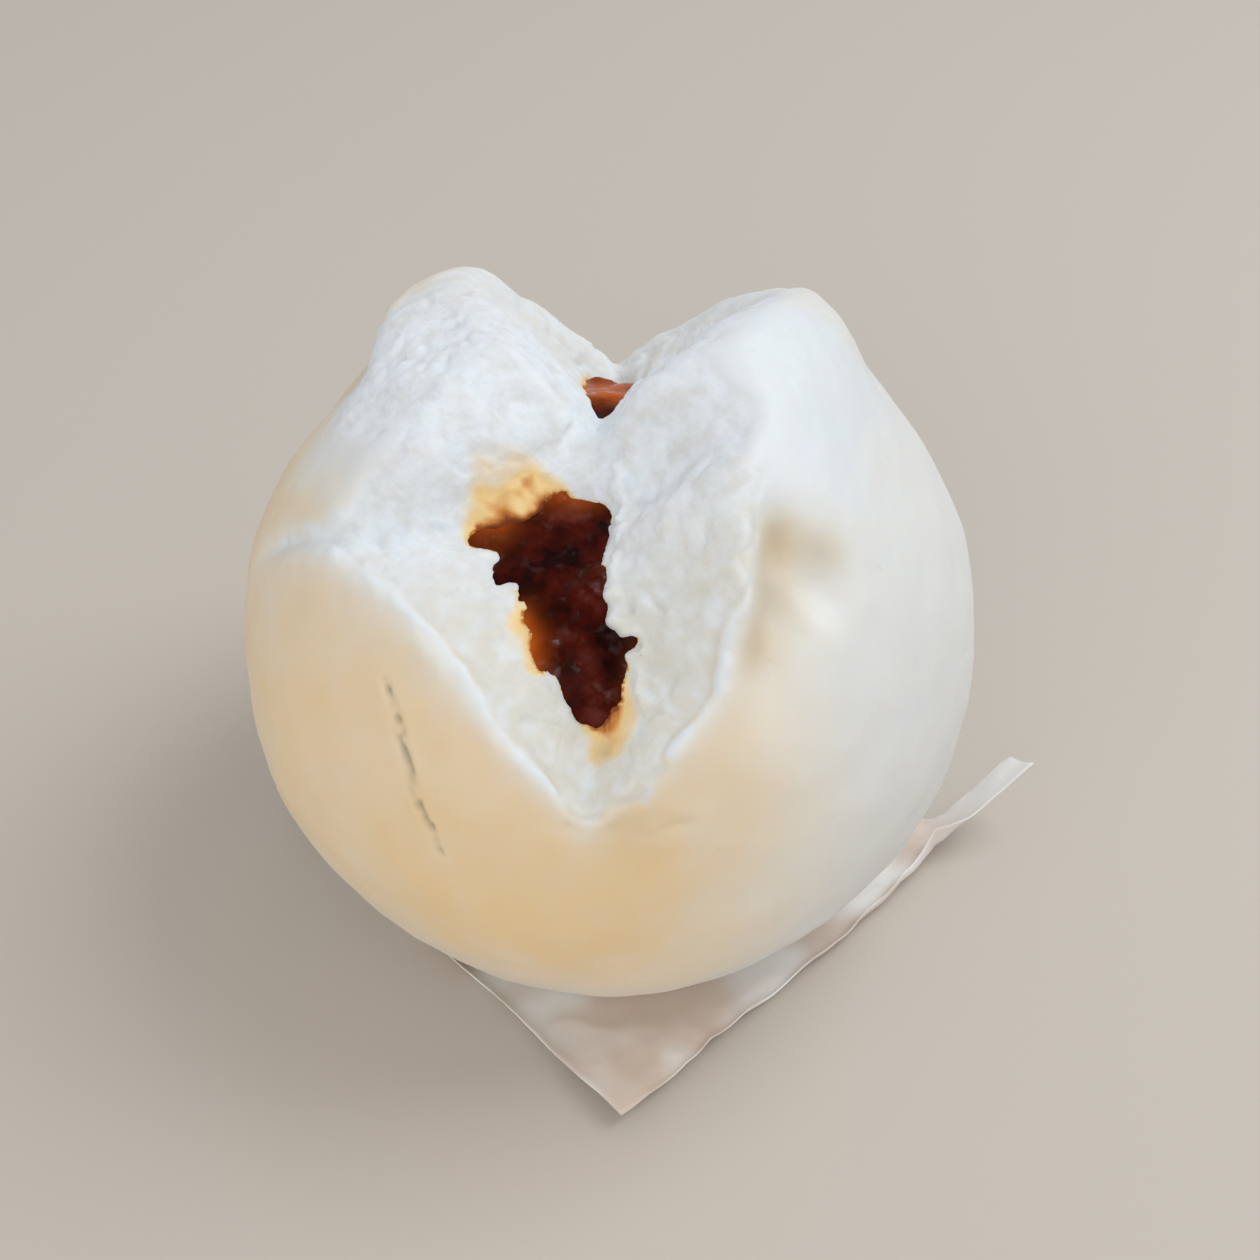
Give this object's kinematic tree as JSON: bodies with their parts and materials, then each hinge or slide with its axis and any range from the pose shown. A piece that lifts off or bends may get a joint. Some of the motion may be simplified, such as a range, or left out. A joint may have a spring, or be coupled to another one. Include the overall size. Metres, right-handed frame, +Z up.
{
  "type": "steamed barbecue pork bun",
  "caption": "Round steamed bun burst open at the top over its dark roast pork filling, standing on a square of baking paper.",
  "frame": {"origin": "under the bun's middle, on the flat underside of the paper", "axes": "+Z up; -Y is the front, where the mouth between the petals opens; +X is to the right of someone who faces the front"},
  "size_m": [0.085, 0.0789, 0.0675],
  "materials": {
    "dough": "matte",
    "filling": "gloss",
    "paper": "matte"
  },
  "bodies": {
    "root": {"dough": "dough", "filling": "filling", "paper": "paper"}
  },
  "joints": []
}
